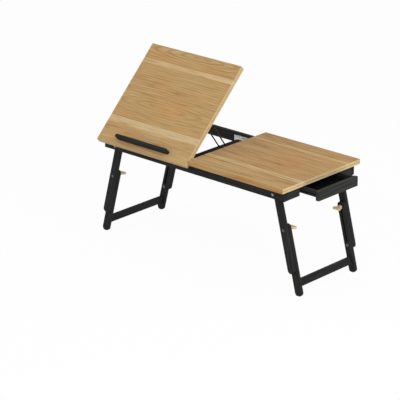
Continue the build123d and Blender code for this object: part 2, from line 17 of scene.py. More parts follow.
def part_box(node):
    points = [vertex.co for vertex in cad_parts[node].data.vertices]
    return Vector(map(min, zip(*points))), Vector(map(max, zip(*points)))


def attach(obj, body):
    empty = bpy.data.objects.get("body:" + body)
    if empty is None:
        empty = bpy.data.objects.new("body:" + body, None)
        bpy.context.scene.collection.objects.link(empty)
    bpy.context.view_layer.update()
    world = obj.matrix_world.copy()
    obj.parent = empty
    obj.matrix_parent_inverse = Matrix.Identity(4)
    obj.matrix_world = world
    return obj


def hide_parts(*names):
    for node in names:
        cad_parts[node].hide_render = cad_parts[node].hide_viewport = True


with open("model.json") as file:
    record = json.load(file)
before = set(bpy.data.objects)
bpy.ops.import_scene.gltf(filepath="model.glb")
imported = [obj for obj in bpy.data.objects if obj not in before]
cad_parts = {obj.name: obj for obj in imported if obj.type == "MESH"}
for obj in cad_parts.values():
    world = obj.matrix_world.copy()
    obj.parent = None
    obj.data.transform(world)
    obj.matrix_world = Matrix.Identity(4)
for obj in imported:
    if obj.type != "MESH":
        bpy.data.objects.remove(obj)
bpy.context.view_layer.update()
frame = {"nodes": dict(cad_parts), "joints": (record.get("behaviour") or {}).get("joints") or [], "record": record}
nodes = frame["nodes"]
body_of_node = {
    node: body
    for body, members in frame["record"]["behaviour"]["bodies"].items()
    for node in members
}
slot_of_node = {row["node"]: row["material_slot"] for row in frame["record"]["subparts"]}

# %% [markdown]
# The desk's main places are read from the frame, so that nothing here can drift from it: the
# fold line between the halves, the underside of the tops, and the hinge line of the left top.
# The tilted top is easiest to think of in its own coordinates: X along the desk from the fold
# line, Y up the board from its front edge, Z out of its upper face. One matrix takes a point of
# the closed board to its tilted place, and its inverse is used by the wood materials.

# %% Main places
MM = 0.001
HALF_GAP = 0.5 * MM

panel_low, panel_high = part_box("fixed_panel")
seam_x = panel_low.x - HALF_GAP
under = panel_low.z
panel_thickness = panel_high.z - panel_low.z
depth = panel_high.y - panel_low.y
half_width = panel_high.x - panel_low.x

joint_of = {joint["name"]: joint for joint in frame["joints"]}
tilt = radians(joint_of["top_tilt"]["range_deg"][1])
hinge = Vector(joint_of["top_tilt"]["pos_m"])
tilted = (
    Matrix.Translation(hinge) @ Matrix.Rotation(tilt, 4, "X") @ Matrix.Translation(-hinge)
)
board_origin = Vector((seam_x, -depth / 2, under))
to_flat_board = Matrix.Translation(-board_origin)
to_tilted_board = to_flat_board @ tilted.inverted()
print("fold line at x", round(seam_x, 4), "board", round(half_width, 4), "by", round(depth, 4))

# %% [markdown]
# ## Camera, floor and light
# The desk is seen from the front right and from a little above, through a long lens, as in a
# catalogue picture. A short lens from nearby would show the same side, but a long lens keeps the
# far legs nearly as large as the near ones, as they are in such pictures.

# %% Camera
CAMERA_PLACE = Vector((3.8784, -4.3764, 2.3450))
CAMERA_TARGET = Vector((-0.0773, -0.0443, 0.1539))
LENS_MM, SENSOR_MM = 189.9, 36.0
FAR_CLIP = 50.0

camera_aim = CAMERA_TARGET - CAMERA_PLACE
bpy.ops.object.camera_add(location=CAMERA_PLACE)
camera = bpy.context.object
camera.name = "catalogue_camera"
camera.rotation_euler = camera_aim.to_track_quat("-Z", "Y").to_euler()
camera.data.lens = LENS_MM
camera.data.sensor_width = SENSOR_MM
camera.data.clip_end = FAR_CLIP
bpy.context.scene.camera = camera
print("camera is", round(camera_aim.length, 3), "m away")

# %% [markdown]
# Backdrop, floor and finishes are all made of shader nodes. A few helpers keep them short, so
# that a node, its options and its numbers stand on one line. `ranged` spreads a value over a
# range, `times` multiplies two values, and `mixed` lays one colour over another through a mask.

# %% Helpers for shader nodes
def add_node(tree, kind, values=None, **settings):
    """Add a shader node, set its options, and set the inputs named in values."""
    node = tree.nodes.new(kind)
    for name, value in settings.items():
        setattr(node, name, value)
    for name, value in (values or {}).items():
        node.inputs[name].default_value = value
    return node


def feed(tree, socket, value):
    """Link an output to a socket, or set the socket where the value is a number or colour."""
    if isinstance(value, bpy.types.NodeSocket):
        tree.links.new(value, socket)
    else:
        socket.default_value = value


def ranged(tree, value, low, high, to_low=0.0, to_high=1.0):
    """A value spread from one range to another, clamped."""
    spread = add_node(
        tree,
        "ShaderNodeMapRange",
        {"From Min": low, "From Max": high, "To Min": to_low, "To Max": to_high},
    )
    tree.links.new(value, spread.inputs["Value"])
    return spread.outputs["Result"]


def times(tree, first, second):
    """The product of two values; each is a number or an output."""
    product = add_node(tree, "ShaderNodeMath", operation="MULTIPLY")
    feed(tree, product.inputs[0], first)
    feed(tree, product.inputs[1], second)
    return product.outputs["Value"]


def mixed(tree, mask, lower, upper, mode="MIX"):
    """Upper over lower where mask is one; each is a colour or an output."""
    mix = add_node(tree, "ShaderNodeMix", data_type="RGBA", blend_type=mode)
    factor, first, second, result = mix.inputs[0], mix.inputs[6], mix.inputs[7], mix.outputs[2]
    feed(tree, factor, mask)
    feed(tree, first, lower)
    feed(tree, second, upper)
    return result


print("helpers for shader nodes: add_node, feed, ranged, times, mixed")

# %% [markdown]
# The backdrop is white to the eye of the camera and to shiny surfaces, but lights the desk only
# gently. A brighter world would be white as well, but it would wash out the wood. Light Path
# tells the rays apart, so one world can be pure white and still be a soft light.

# %% World
AMBIENT = 0.62
WHITE = (1.0, 1.0, 1.0, 1.0)


def seen_directly(tree):
    """One for rays of the camera, of mirrors and of glass, and nought for the rest."""
    path = add_node(tree, "ShaderNodeLightPath")
    total = path.outputs["Is Camera Ray"]
    for name in ("Is Glossy Ray", "Is Transmission Ray"):
        adding = add_node(tree, "ShaderNodeMath", operation="MAXIMUM")
        tree.links.new(total, adding.inputs[0])
        tree.links.new(path.outputs[name], adding.inputs[1])
        total = adding.outputs[0]
    return total


scene = bpy.context.scene
scene.view_settings.view_transform = "Standard"

world = bpy.data.worlds.new("studio")
scene.world = world
world.use_nodes = True
background = world.node_tree.nodes["Background"]
background.inputs["Color"].default_value = WHITE
strength = ranged(world.node_tree, seen_directly(world.node_tree), 0.0, 1.0, AMBIENT, 1.0)
world.node_tree.links.new(strength, background.inputs["Strength"])
print("the world lights the desk at", AMBIENT, "and is seen at 1")

# %% [markdown]
# The floor is a wide pale sheet of paper. It is nearly white to the camera, by the same trick,
# but keeps a little of its own shade, so that the desk's soft shadow shows on it. Its lower side
# is clear, so that a camera under the desk sees the desk's underside and not the floor.

# %% Floor
FLOOR_SIDE = 16.0
FLOOR_DROP = 0.2 * MM
PAPER = (0.86, 0.86, 0.86, 1.0)
GLOW_SHARE = 0.95

bpy.ops.object.select_all(action="DESELECT")
bpy.ops.mesh.primitive_plane_add(size=FLOOR_SIDE, location=(0, 0, -FLOOR_DROP))
floor = bpy.context.object
floor.name = "studio_floor"
floor_paper = bpy.data.materials.new("floor_paper")
floor_paper.use_nodes = True
tree = floor_paper.node_tree
tree.nodes.clear()
paper = add_node(tree, "ShaderNodeBsdfDiffuse", {"Color": PAPER})
glow = add_node(tree, "ShaderNodeEmission", {"Color": WHITE, "Strength": 1.0})
glow_share = ranged(tree, seen_directly(tree), 0.0, 1.0, 0.0, GLOW_SHARE)
upper_side = add_node(tree, "ShaderNodeMixShader")
tree.links.new(glow_share, upper_side.inputs["Fac"])
tree.links.new(paper.outputs["BSDF"], upper_side.inputs[1])
tree.links.new(glow.outputs["Emission"], upper_side.inputs[2])
clear = add_node(tree, "ShaderNodeBsdfTransparent")
facing = add_node(tree, "ShaderNodeNewGeometry")
both_sides = add_node(tree, "ShaderNodeMixShader")
tree.links.new(facing.outputs["Backfacing"], both_sides.inputs["Fac"])
tree.links.new(upper_side.outputs["Shader"], both_sides.inputs[1])
tree.links.new(clear.outputs["BSDF"], both_sides.inputs[2])
out = add_node(tree, "ShaderNodeOutputMaterial")
tree.links.new(both_sides.outputs["Shader"], out.inputs["Surface"])
floor.data.materials.append(floor_paper)
print("floor:", FLOOR_SIDE, "m wide")

# %% [markdown]
# Two large soft lamps light the desk. The main one stands to the right, so that the ends of the
# boards are brighter than their fronts, as they are on the real desk. The second one fills in
# from the front left, so that no black piece drowns. Small lamps would draw hard shadows.

# %% Lamps
LAMP_AIM = Vector((0, 0, 0.25))


def soft_lamp(name, place, size, power):
    """A square area lamp that looks at the desk."""
    bpy.ops.object.light_add(type="AREA", location=place)
    lamp = bpy.context.object
    lamp.name = name
    lamp.data.size = size
    lamp.data.energy = power
    aim = LAMP_AIM - Vector(place)
    lamp.rotation_euler = aim.to_track_quat("-Z", "Y").to_euler()


soft_lamp("key_lamp", place=(2.6, -0.9, 2.6), size=2.2, power=62.0)
soft_lamp("fill_lamp", place=(-1.6, -2.8, 2.0), size=2.4, power=22.0)

# %% [markdown]
# ## Materials
# Wood, stain and metal share a few effects: streaks along a direction, growth rings, and edges
# a little lighter, from wear and, on the tops, as a painted highlight. Each effect could be drawn
# anew in every material, but as a node group it is built once and placed with its own numbers. A
# group is a small machine with named inputs and outputs. The first one stretches noise along X, at
# three widths of streak.

# %% Group: streaks along the grain
FLOAT, VECTOR = "NodeSocketFloat", "NodeSocketVector"
STREAK_ROUGHNESS = 0.62


def new_group(name, inputs, outputs):
    """An empty shader group with its sockets; returns the tree and its input and output nodes."""
    group = bpy.data.node_groups.new(name, "ShaderNodeTree")
    for side, sockets in (("INPUT", inputs), ("OUTPUT", outputs)):
        for socket_name, kind, value in sockets:
            socket = group.interface.new_socket(
                name=socket_name, in_out=side, socket_type=kind
            )
            if value is not None:
                socket.default_value = value
    return group, group.nodes.new("NodeGroupInput"), group.nodes.new("NodeGroupOutput")


streaks, given, result = new_group(
    "grain_streaks",
    [("Vector", VECTOR, None), ("Along", FLOAT, 6.0), ("Across", FLOAT, 260.0)],
    [("Fine", FLOAT, None), ("Middle", FLOAT, None), ("Broad", FLOAT, None)],
)
for name, thinning, detail in (("Fine", 1.0, 6.0), ("Middle", 0.40, 4.0), ("Broad", 0.16, 2.0)):
    stretch = add_node(streaks, "ShaderNodeCombineXYZ")
    streaks.links.new(given.outputs["Along"], stretch.inputs["X"])
    streaks.links.new(given.outputs["Across"], stretch.inputs["Y"])
    streaks.links.new(given.outputs["Across"], stretch.inputs["Z"])
    thin = add_node(streaks, "ShaderNodeVectorMath", {"Scale": thinning}, operation="SCALE")
    streaks.links.new(stretch.outputs["Vector"], thin.inputs[0])
    place = add_node(streaks, "ShaderNodeVectorMath", operation="MULTIPLY")
    streaks.links.new(given.outputs["Vector"], place.inputs[0])
    streaks.links.new(thin.outputs["Vector"], place.inputs[1])
    noise = add_node(
        streaks,
        "ShaderNodeTexNoise",
        {"Scale": 1.0, "Detail": detail, "Roughness": STREAK_ROUGHNESS},
    )
    streaks.links.new(place.outputs["Vector"], noise.inputs["Vector"])
    streaks.links.new(noise.outputs["Fac"], result.inputs[name])
print("group", streaks.name)

# %% [markdown]
# An edge that is handled loses a little of its finish. Painting each edge by hand would take a
# map for every piece. The Bevel node bends the normal near an edge instead, so where it differs
# from the true normal there is an edge, on any piece. Noise breaks the line up. On the oiled tops
# the same mask also lays a painted highlight, the light line that an eased edge catches.

# %% Group: edge wear and painted edge highlights
edge_wear_and_highlight, given, result = new_group(
    "edge_wear_and_highlight_mask",
    [("Vector", VECTOR, None), ("Width", FLOAT, 0.001), ("Wear", FLOAT, 1.0)],
    [("Mask", FLOAT, None)],
)
bent = add_node(edge_wear_and_highlight, "ShaderNodeBevel", samples=4)
edge_wear_and_highlight.links.new(given.outputs["Width"], bent.inputs["Radius"])
true_normal = add_node(edge_wear_and_highlight, "ShaderNodeNewGeometry")
alike = add_node(edge_wear_and_highlight, "ShaderNodeVectorMath", operation="DOT_PRODUCT")
edge_wear_and_highlight.links.new(bent.outputs["Normal"], alike.inputs[0])
edge_wear_and_highlight.links.new(true_normal.outputs["Normal"], alike.inputs[1])
edge = ranged(edge_wear_and_highlight, alike.outputs["Value"], 0.99, 0.80)
breaks = add_node(edge_wear_and_highlight, "ShaderNodeTexNoise", {"Scale": 130.0, "Detail": 3.0})
edge_wear_and_highlight.links.new(given.outputs["Vector"], breaks.inputs["Vector"])
patchy = ranged(edge_wear_and_highlight, breaks.outputs["Fac"], 0.42, 0.68)
amount = times(edge_wear_and_highlight, times(edge_wear_and_highlight, edge, patchy), given.outputs["Wear"])
edge_wear_and_highlight.links.new(amount, result.inputs["Mask"])
print("group", edge_wear_and_highlight.name)

# %% [markdown]
# Sawn boards show growth rings where the saw cut them at a slant: long nested arches, called
# cathedrals. Rings round a far point, stretched along the board and shaken by noise, give them
# without drawing a single line. A power thins the rings to lines.

# %% Group: cathedral figure
LINE_SHARPNESS = 2.5

figure, given, result = new_group(
    "cathedral_figure",
    [("Vector", VECTOR, None), ("Rings", FLOAT, 9.0), ("Shake", FLOAT, 5.0)],
    [("Lines", FLOAT, None)],
)
rings = add_node(
    figure,
    "ShaderNodeTexWave",
    {"Detail": 2.0, "Detail Scale": 0.7, "Detail Roughness": 0.55},
    wave_type="RINGS",
    rings_direction="SPHERICAL",
)
figure.links.new(given.outputs["Vector"], rings.inputs["Vector"])
figure.links.new(given.outputs["Rings"], rings.inputs["Scale"])
figure.links.new(given.outputs["Shake"], rings.inputs["Distortion"])
sharpen = add_node(figure, "ShaderNodeMath", operation="POWER")
sharpen.inputs[1].default_value = LINE_SHARPNESS
figure.links.new(rings.outputs["Fac"], sharpen.inputs[0])
figure.links.new(sharpen.outputs["Value"], result.inputs["Lines"])
print("group", figure.name)

# %% [markdown]
# Five more helpers serve the materials. `placed` gives the piece's own coordinates, turned so
# that X runs along the grain, and `grouped` places a group and feeds it. Generated coordinates
# would stretch the grain with each piece's size, but Object coordinates keep it to scale.
# `glossed` and `bumped` let the grain vary the gloss and the surface. Nearly all of a noise lies
# between 0.3 and 0.7, so that span is spread over the whole of a gloss.

# %% Material helpers
NOISE_SPAN = (0.3, 0.7)


def new_material(name):
    """A material with its Principled shader; returns the material, its tree and the shader."""
    material = bpy.data.materials.new(name)
    material.use_nodes = True
    return material, material.node_tree, material.node_tree.nodes["Principled BSDF"]


def placed(tree, matrix=Matrix.Identity(4)):
    """Object coordinates, moved and turned by a matrix."""
    coords = add_node(tree, "ShaderNodeTexCoord")
    mapping = add_node(tree, "ShaderNodeMapping")
    mapping.inputs["Location"].default_value = matrix.to_translation()
    mapping.inputs["Rotation"].default_value = matrix.to_euler()
    tree.links.new(coords.outputs["Object"], mapping.inputs["Vector"])
    return mapping.outputs["Vector"]


def grouped(tree, group, vector, **values):
    """Place a group, give it its vector and values, and return the node."""
    node = add_node(tree, "ShaderNodeGroup", node_tree=group)
    tree.links.new(vector, node.inputs["Vector"])
    for name, value in values.items():
        node.inputs[name].default_value = value
    return node


def glossed(tree, shader, noise, shiny, dull):
    """Let a noise take the roughness of a shader from shiny to dull."""
    roughness = ranged(tree, noise, *NOISE_SPAN, shiny, dull)
    tree.links.new(roughness, shader.inputs["Roughness"])


def bumped(tree, shader, height, distance, strength):
    """Feed a height to the shader's normal."""
    bump = add_node(tree, "ShaderNodeBump", {"Distance": distance, "Strength": strength})
    tree.links.new(height, bump.inputs["Height"])
    tree.links.new(bump.outputs["Normal"], shader.inputs["Normal"])


print("material helpers: new_material, placed, grouped, glossed, bumped")

# %% [markdown]
# ### Oiled wood of the tops
# Each top is glued up from boards that run along the desk: a front board, a narrow light one, a
# wide main one with a cathedral figure, another light strip and a rear board. Five materials
# would do, but one with a colour ramp keeps the top a single piece: its constant steps give each
# board its tone by its distance from the front edge. A second ramp shifts the grain from board
# to board, so that no streak runs across a glue line.

# %% Boards of a top, by distance from the front edge
BOARD_EDGES = (0.0, 68 * MM, 90 * MM, 281 * MM, 295 * MM)
BOARD_TONES = (
    (0.462, 0.302, 0.131),
    (0.592, 0.448, 0.246),
    (0.472, 0.300, 0.122),
    (0.574, 0.430, 0.222),
    (0.482, 0.310, 0.130),
)
BOARD_SHIFTS = [(v, v * 0.7, v * 1.3) for v in (0.10, 0.45, 0.0, 0.75, 0.30)]


def board_ramp(tree, distance, colours):
    """Constant steps of colour over the boards of a top."""
    ramp = add_node(tree, "ShaderNodeValToRGB")
    ramp.color_ramp.interpolation = "CONSTANT"
    stops = ramp.color_ramp.elements
    for edge in BOARD_EDGES[2:]:
        stops.new(edge / depth)
    for stop, edge, colour in zip(stops, BOARD_EDGES, colours):
        stop.position = edge / depth
        stop.color = (*colour, 1.0)
    tree.links.new(ranged(tree, distance, 0.0, depth), ramp.inputs["Fac"])
    return ramp.outputs["Color"]


print("boards in a top:", len(BOARD_EDGES))

# %% [markdown]
# The grain is made of dark and light streaks of three widths, and of pores: short dark dashes
# that crowd in some streaks and are rare in others. Broad patches of a warmer and of a cooler
# brown lie over them, because no board keeps one colour along its length. One noise could give
# all of it, but then light, dark and pores would follow each other too neatly.

# %% Streaks, pores and patches
DARK_STREAK = (0.300, 0.160, 0.056, 1.0)
LIGHT_STREAK = (0.660, 0.480, 0.250, 1.0)
PORE = (0.190, 0.095, 0.034, 1.0)
WARM_PATCH = (0.540, 0.250, 0.088, 1.0)
COOL_PATCH = (0.450, 0.335, 0.150, 1.0)
WARM_RANGE = (0.52, 0.72, 0.0, 0.46)
COOL_RANGE = (0.46, 0.28, 0.0, 0.35)
PATCHES_PER_METRE = (7.0, 17.0, 17.0)


def streaked(tree, colour, grain, contrast):
    """Lay a board's streaks and pores over its tone; contrast is that of the wider streaks."""
    dark = (
        ("Broad", 0.42, 0.72, 0.12),
        ("Middle", 0.50, 0.68, 0.12 * contrast),
        ("Fine", 0.52, 0.66, 0.60),
    )
    light = (("Middle", 0.48, 0.32, 0.10 * contrast), ("Fine", 0.46, 0.34, 0.55))
    for streak, kinds in ((DARK_STREAK, dark), (LIGHT_STREAK, light)):
        for width, start, full, strength in kinds:
            lines = ranged(tree, grain.outputs[width], start, full, 0.0, strength)
            colour = mixed(tree, lines, colour, streak)

    pore_start = 0.63 - 0.03 * contrast
    pores = ranged(tree, grain.outputs["Fine"], pore_start, pore_start + 0.05, 0.0, 0.80)
    crowded = ranged(tree, grain.outputs["Broad"], 0.44, 0.58, 0.15, 1.0)
    return mixed(tree, times(tree, pores, crowded), colour, PORE)


def patched(tree, colour, grain_place):
    """Lay warm and cool patches over a colour, longer along the grain than across it."""
    spread = add_node(tree, "ShaderNodeMapping", {"Scale": PATCHES_PER_METRE})
    tree.links.new(grain_place, spread.inputs["Vector"])
    patches = add_node(tree, "ShaderNodeTexNoise", {"Scale": 1.0, "Detail": 2.0, "Roughness": 0.5})
    tree.links.new(spread.outputs["Vector"], patches.inputs["Vector"])
    warm = ranged(tree, patches.outputs["Fac"], *WARM_RANGE)
    cool = ranged(tree, patches.outputs["Fac"], *COOL_RANGE)
    return mixed(tree, cool, mixed(tree, warm, colour, WARM_PATCH), COOL_PATCH)


print("streaks, pores and patches can be laid over any tone")

# %% [markdown]
# The faces of the wide boards show growth rings, and their centres lie on the board or beyond
# it. A ring group whose X is squeezed draws them as long arches, and a mask keeps each figure on
# its own board. The ends of the boards are paler, and a broken dark line runs halfway up their
# thickness, where two layers are glued.

# %% Rings and end grain
RING_LINE = (0.310, 0.165, 0.060, 1.0)
RING_SQUEEZE, RING_SHAKE = 0.13, 3.2
END_WOOD, END_SHARE = (0.760, 0.610, 0.350, 1.0), 0.66
GLUE_LINE, GLUE_HALF = (0.340, 0.190, 0.070, 1.0), 1.1 * MM
GLUE_BREAKS = (0.38, 0.55, 0.15, 0.75)


def within(tree, value, middle, half):
    """One where a value lies within a half width of a middle, and nought elsewhere."""
    near = add_node(tree, "ShaderNodeMath", operation="COMPARE")
    for socket, setting in zip(near.inputs, (value, middle, half)):
        feed(tree, socket, setting)
    return near.outputs["Value"]


def ringed(tree, colour, vector, distance, centre, board, rings, strength):
    """Draw growth rings round a centre over one board, which is numbered from the front."""
    squeeze = add_node(
        tree,
        "ShaderNodeMapping",
        {
            "Scale": (RING_SQUEEZE, 1.0, 0.0),
            "Location": (-RING_SQUEEZE * centre[0], -centre[1], 0.0),
        },
    )
    tree.links.new(vector, squeeze.inputs["Vector"])
    arches = grouped(tree, figure, squeeze.outputs["Vector"], Rings=rings, Shake=RING_SHAKE)
    low, high = (*BOARD_EDGES, depth)[board : board + 2]
    this_board = within(tree, distance, (low + high) / 2, (high - low) / 2)
    lines = times(tree, times(tree, arches.outputs["Lines"], this_board), strength)
    return mixed(tree, lines, colour, RING_LINE)


def end_grained(tree, colour, height, grain):
    """Pale end wood with a broken dark line halfway up its thickness."""
    colour = mixed(tree, END_SHARE, colour, END_WOOD)
    halfway = within(tree, height, panel_thickness / 2, GLUE_HALF)
    broken = ranged(tree, grain.outputs["Broad"], *GLUE_BREAKS)
    return mixed(tree, times(tree, halfway, broken), colour, GLUE_LINE)


print("glue line in the ends:", round(2 * GLUE_HALF / MM, 1), "mm")

# %% [markdown]
# One function puts the wood together and is called for each top with its own place, grain and
# rings. The tilted top is of a finer wood. The flat one has bolder streaks and is a little
# browner, which a tint multiplied over its colour gives. The edges are paler, partly from wear and
# partly as a painted highlight along the eased edges. Oiled wood has a soft gloss: its roughness is
# high, its specular level low, and the fine grain stands up a little.

# %% Oiled wood
WORN_AND_HIGHLIT_WOOD = (0.760, 0.590, 0.350, 1.0)
FLAT_TINT = (0.93, 0.86, 0.76, 1.0)
OIL_WEAR_AND_HIGHLIGHT = {"Width": 2.2 * MM, "Wear": 0.75}
OIL_GLOSS, OIL_SPECULAR = (0.46, 0.60), 0.14
OIL_RELIEF = {"distance": 0.15 * MM, "strength": 0.35}
FINE_GRAIN = {"grain_size": (10.0, 340.0), "contrast": 1.0}
BOLD_GRAIN = {"grain_size": (8.0, 210.0), "contrast": 2.4}
END_GRAIN = {"grain_size": (90.0, 300.0), "contrast": 1.0}


def oiled_wood(name, matrix, grain_size, contrast, ring_sets=None, tint=None):
    """Oiled wood in board coordinates: X along the grain, Y from the front; no rings at ends."""
    material, tree, shader = new_material(name)
    vector = placed(tree, matrix)
    split = add_node(tree, "ShaderNodeSeparateXYZ")
    tree.links.new(vector, split.inputs["Vector"])
    distance, height = split.outputs["Y"], split.outputs["Z"]
    moved = add_node(tree, "ShaderNodeVectorMath", operation="ADD")
    tree.links.new(vector, moved.inputs[0])
    tree.links.new(board_ramp(tree, distance, BOARD_SHIFTS), moved.inputs[1])
    grain_place = moved.outputs["Vector"]

    along, across = grain_size
    grain = grouped(tree, streaks, grain_place, Along=along, Across=across)
    colour = streaked(tree, board_ramp(tree, distance, BOARD_TONES), grain, contrast)
    colour = patched(tree, colour, grain_place)
    if ring_sets is None:
        colour = end_grained(tree, colour, height, grain)
    else:
        for one_set in ring_sets:
            colour = ringed(tree, colour, vector, distance, **one_set)
    if tint is not None:
        colour = mixed(tree, 1.0, colour, tint, mode="MULTIPLY")
    # Paler edges: partly wear, partly a painted highlight along the eased edge that catches the light
    wear_and_highlight = grouped(tree, edge_wear_and_highlight, vector, **OIL_WEAR_AND_HIGHLIGHT)
    colour = mixed(tree, wear_and_highlight.outputs["Mask"], colour, WORN_AND_HIGHLIT_WOOD)
    tree.links.new(colour, shader.inputs["Base Color"])

    glossed(tree, shader, grain.outputs["Fine"], *OIL_GLOSS)
    shader.inputs["Specular IOR Level"].default_value = OIL_SPECULAR
    bumped(tree, shader, grain.outputs["Fine"], **OIL_RELIEF)
    return material


print("fine and bold grain:", FINE_GRAIN["grain_size"], "and", BOLD_GRAIN["grain_size"])

# %% [markdown]
# Now both tops get their wood, each in its own board coordinates, and with a second material for
# the ends. The rings are placed one by one, because the figure on a real board is a matter of luck:
# each set has its centre, the board it lies on, how tight its rings are and how dark.

# %% Wood for both tops
MAIN_BOARD, REAR_BOARD = 2, 4

flat_rings = (
    dict(centre=(0.16, 0.17), board=MAIN_BOARD, rings=36.0, strength=0.32),
    dict(centre=(0.27, 0.335), board=REAR_BOARD, rings=44.0, strength=0.34),
)
tilted_rings = (
    dict(centre=(-0.20, 0.15), board=MAIN_BOARD, rings=40.0, strength=0.34),
    dict(centre=(-0.15, 0.335), board=REAR_BOARD, rings=46.0, strength=0.54),
)
wood_flat = oiled_wood(
    "oiled_wood_flat", to_flat_board, ring_sets=flat_rings, tint=FLAT_TINT, **BOLD_GRAIN
)
wood_flat_end = oiled_wood("oiled_wood_flat_end", to_flat_board, **END_GRAIN)
wood_tilted = oiled_wood(
    "oiled_wood_tilted", to_tilted_board, ring_sets=tilted_rings, **FINE_GRAIN
)
wood_tilted_end = oiled_wood("oiled_wood_tilted_end", to_tilted_board, **END_GRAIN)
print("oiled wood:", [m.name for m in (wood_flat, wood_flat_end, wood_tilted, wood_tilted_end)])

# %% [markdown]
# ### Black stained wood
# Rails, legs and drawer are hardwood under a thin black stain. Plain black paint would look like
# plastic: the stain hides the colour but not the grain, which still shows as fine ridges, and
# handled edges let a little brown through. The drawer's front and the end rails catch more light,
# so painted light makes their stain a shade lighter. The inside of the drawer and the cross boards
# lie deep in shade, so painted shade makes their stain darker, and it has less sheen.

# %% Black stained wood
STAIN_TONES = ((0.0108, 0.0120, 0.0116), (0.0400, 0.0415, 0.0395), (0.0225, 0.0208, 0.0185))
BARE_EDGE = (0.085, 0.060, 0.040, 1.0)
STAIN_GRAIN = {"Along": 9.0, "Across": 420.0}
STAIN_WEAR = {"Width": 1.1 * MM, "Wear": 0.45}
STAIN_GLOSS = (0.58, 0.74)
STAIN_RELIEF = {"distance": 0.2 * MM, "strength": 0.45}
across_desk = Matrix.Rotation(-pi / 2, 4, "Z")


def black_wood(name, matrix=Matrix.Identity(4), shade=1.0, sheen=0.07):
    """Black stain over wood whose grain runs along X of the given matrix's space."""
    # shade scales the stain's tones: above one it paints light into them, below one it paints shade
    dark, ridge, brown = ((*(v * shade for v in tone), 1.0) for tone in STAIN_TONES)
    material, tree, shader = new_material(name)
    vector = placed(tree, matrix)
    grain = grouped(tree, streaks, vector, **STAIN_GRAIN)
    ridges = ranged(tree, grain.outputs["Fine"], 0.42, 0.70)
    broad = ranged(tree, grain.outputs["Broad"], 0.40, 0.75, 0.0, 0.5)
    colour = mixed(tree, broad, mixed(tree, ridges, dark, ridge), brown)
    wear_and_highlight = grouped(tree, edge_wear_and_highlight, vector, **STAIN_WEAR)
    colour = mixed(tree, wear_and_highlight.outputs["Mask"], colour, BARE_EDGE)
    tree.links.new(colour, shader.inputs["Base Color"])
    glossed(tree, shader, grain.outputs["Fine"], *STAIN_GLOSS)
    shader.inputs["Specular IOR Level"].default_value = sheen
    bumped(tree, shader, grain.outputs["Fine"], **STAIN_RELIEF)
    return material


black_x = black_wood("black_wood_along_desk")
black_y = black_wood("black_wood_across_desk", across_desk)
# Painted light: a lighter copy of the stain for the drawer front and end rails, which catch more light
black_painted_light = black_wood("black_wood_painted_light", across_desk, shade=1.6)
# Painted shade: a darker, duller copy of the stain for the drawer's inside and the cross boards
black_painted_shade = black_wood("black_wood_painted_shade", shade=0.13, sheen=0.02)
black_leg = {}
for side in ("left", "right"):
    down = joint_of[f"leg_height_{side}"]["axis"]
    turn = Matrix.Rotation(atan2(down[2], down[0]), 4, "Y")
    black_leg[side] = black_wood(f"black_wood_leg_{side}", turn)
print("black wood:", black_x.name, black_y.name, [m.name for m in black_leg.values()])

# %% [markdown]
# ### Knob wood
# The winged knobs are small pieces of pale varnished wood. They are too small for boards and
# rings, so fine streaks are enough. Varnish is glossier than oil, and dulled a little by hands.

# %% Knob wood
KNOB_PALE = (0.760, 0.560, 0.320, 1.0)
KNOB_STREAK = (0.580, 0.380, 0.190, 1.0)
KNOB_WORN = (0.700, 0.520, 0.300, 1.0)
KNOB_GRAIN = {"Along": 120.0, "Across": 620.0}
KNOB_WEAR = {"Width": 0.8 * MM, "Wear": 0.5}
KNOB_STREAK_SHARE = 0.7
KNOB_GLOSS = (0.36, 0.48)
KNOB_RELIEF = {"distance": 0.1 * MM, "strength": 0.3}

pale_knob, tree, shader = new_material("pale_knob_wood")
vector = placed(tree)
grain = grouped(tree, streaks, vector, **KNOB_GRAIN)
lines = ranged(tree, grain.outputs["Fine"], 0.45, 0.72, 0.0, KNOB_STREAK_SHARE)
wear_and_highlight = grouped(tree, edge_wear_and_highlight, vector, **KNOB_WEAR)
colour = mixed(tree, lines, KNOB_PALE, KNOB_STREAK)
colour = mixed(tree, wear_and_highlight.outputs["Mask"], colour, KNOB_WORN)
tree.links.new(colour, shader.inputs["Base Color"])
roughness = ranged(tree, lines, 0.0, KNOB_STREAK_SHARE, *KNOB_GLOSS)
tree.links.new(roughness, shader.inputs["Roughness"])
bumped(tree, shader, grain.outputs["Fine"], **KNOB_RELIEF)
print("knob wood:", pale_knob.name)

# %% [markdown]
# ### Metals
# Latches, hinges, leaves, links, nuts and wood screws are zinc plated, the clamp bolts and guide
# screws of the legs are dark steel, and the pivot bolts are brassed. Metals need a base colour
# that is their reflection, a high Metallic, and fine scratches in the roughness. Without
# scratches a metal looks like a mirror.

# %% Metals
BRUSHING = {"Along": 60.0, "Across": 1500.0}
SHINIER, DULLER = 0.06, 0.10
METAL_RELIEF = {"distance": 0.02 * MM, "strength": 0.3}


def metal(name, colour, darker, roughness):
    """Plated or drawn metal with fine brushing and dull spots."""
    material, tree, shader = new_material(name)
    vector = placed(tree)
    grain = grouped(tree, streaks, vector, **BRUSHING)
    dull = add_node(tree, "ShaderNodeTexNoise", {"Scale": 240.0, "Detail": 3.0})
    tree.links.new(vector, dull.inputs["Vector"])
    spots = ranged(tree, dull.outputs["Fac"], 0.52, 0.70, 0.0, 0.75)
    tree.links.new(mixed(tree, spots, colour, darker), shader.inputs["Base Color"])
    glossed(tree, shader, grain.outputs["Fine"], roughness - SHINIER, roughness + DULLER)
    shader.inputs["Metallic"].default_value = 1.0
    bumped(tree, shader, grain.outputs["Fine"], **METAL_RELIEF)
    return material


